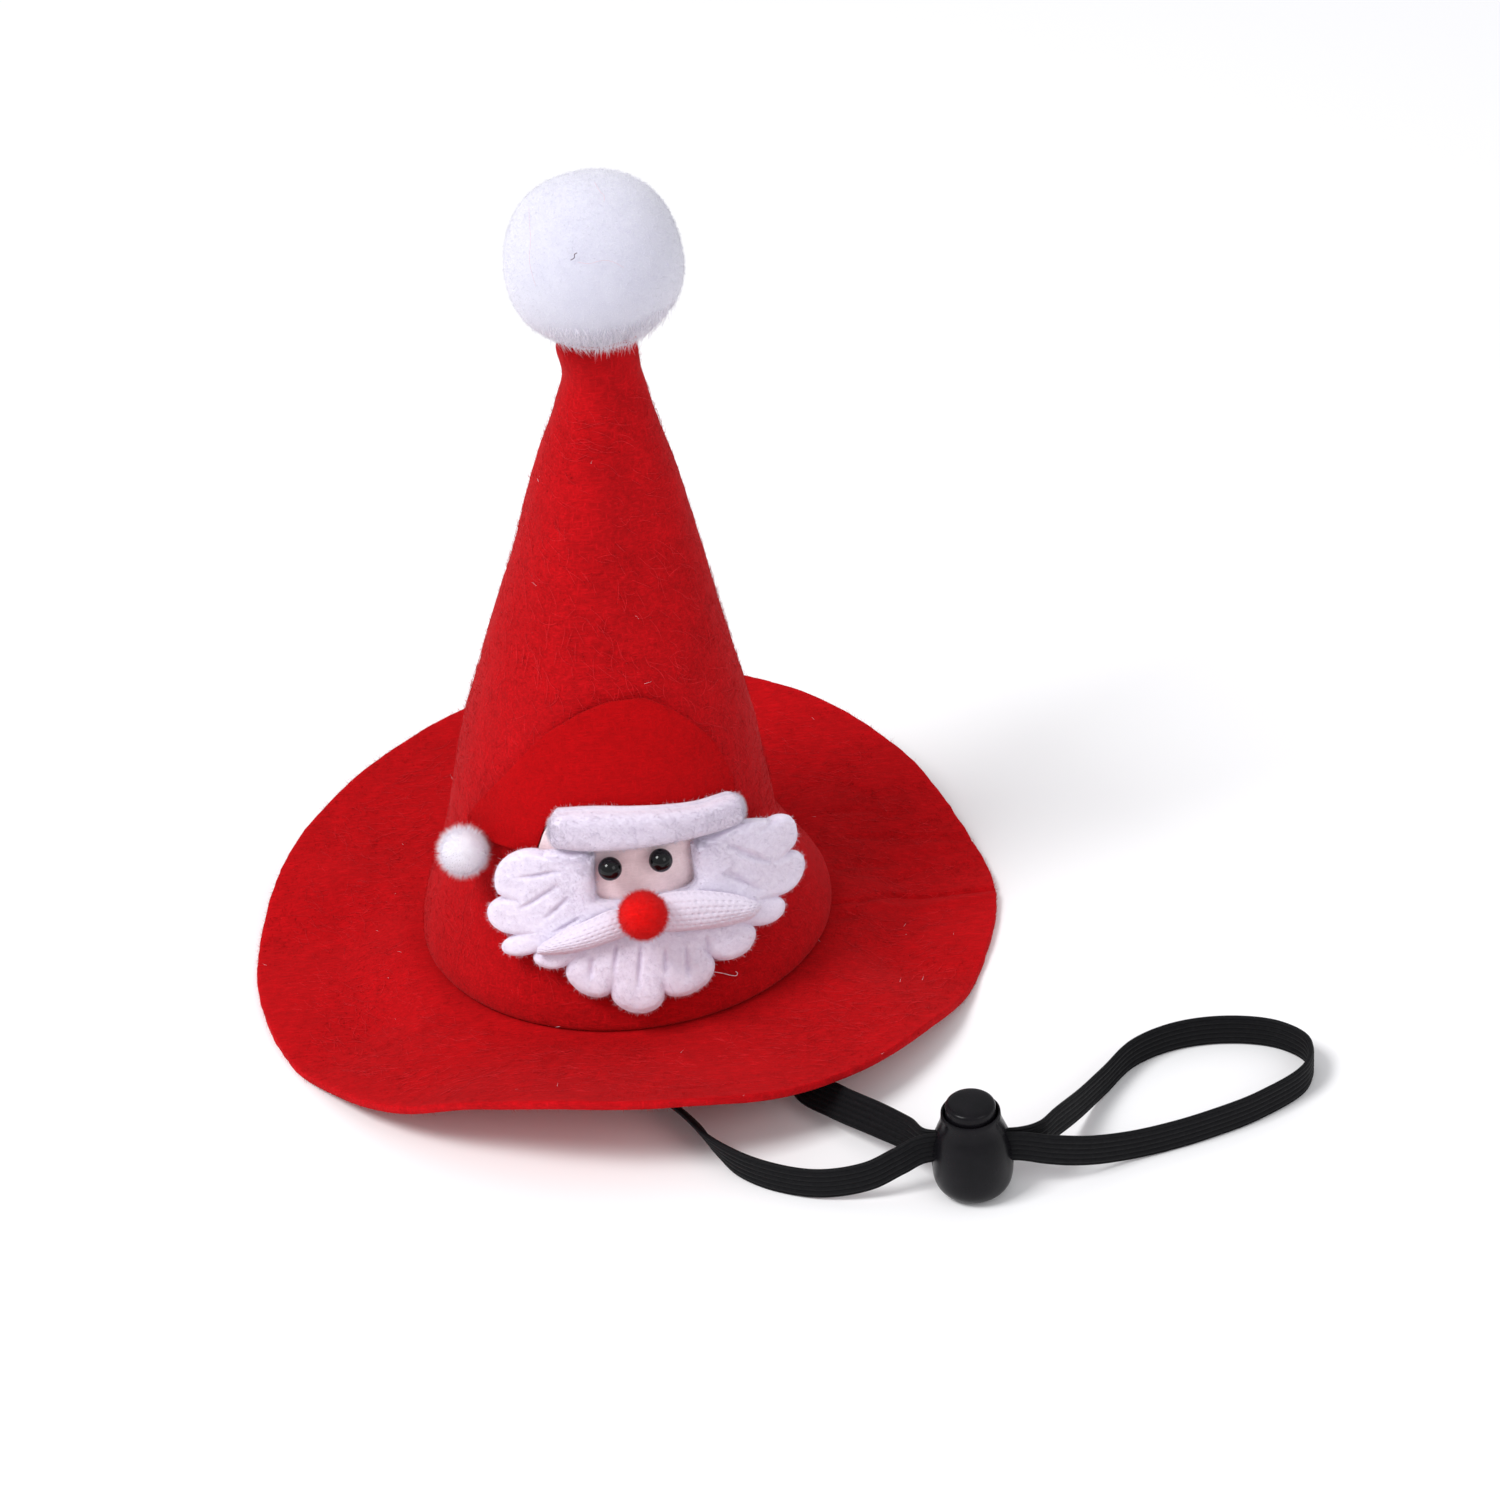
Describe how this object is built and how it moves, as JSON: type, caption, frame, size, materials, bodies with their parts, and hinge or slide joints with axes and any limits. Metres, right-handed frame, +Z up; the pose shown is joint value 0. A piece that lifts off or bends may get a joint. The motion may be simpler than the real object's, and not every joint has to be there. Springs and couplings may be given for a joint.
{
  "type": "pet santa hat",
  "caption": "Small red felt hat for a pet: wide curled brim, tall hollow crown, white pompom, santa face on the front and a black elastic chin strap with a push-button cord lock.",
  "frame": {"origin": "on the table, under the centre of the hat's own box, elastic and cord lock left out", "axes": "+X to the viewer's right with the face in front, +Y to the back, +Z up along the crown"},
  "size_m": [0.2117, 0.1732, 0.181],
  "materials": {
    "red_felt": "matte brushed felt",
    "cap_felt": "matte flat felt",
    "face_felt": "matte felt",
    "white_fleece": "matte padded fleece",
    "white_knit": "matte dotted knit",
    "white_yarn": "trimmed yarn",
    "red_yarn": "trimmed yarn",
    "black_bead": "gloss",
    "black_elastic": "ribbed elastic",
    "black_plastic": "satin"
  },
  "bodies": {
    "hat": {"brim": "red_felt", "crown": "red_felt", "top_pompom": "white_yarn", "cap_applique": "cap_felt", "face_felt": "face_felt", "beard": "white_fleece", "cap_band": "white_fleece", "moustache": "white_knit", "nose_pompom": "red_yarn", "cap_pompom": "white_yarn", "eye_left": "black_bead", "eye_right": "black_bead", "elastic_strap": "black_elastic", "cord_lock_body": "black_plastic"},
    "lock_button": {"cord_lock_button": "black_plastic"}
  },
  "joints": [
    {"name": "lock_button_press", "type": "slide", "parent": "hat", "child": "lock_button", "axis": [0, 0, -1], "range_m": [0, 0.0025], "stiffness_N_per_m": 500}
  ]
}
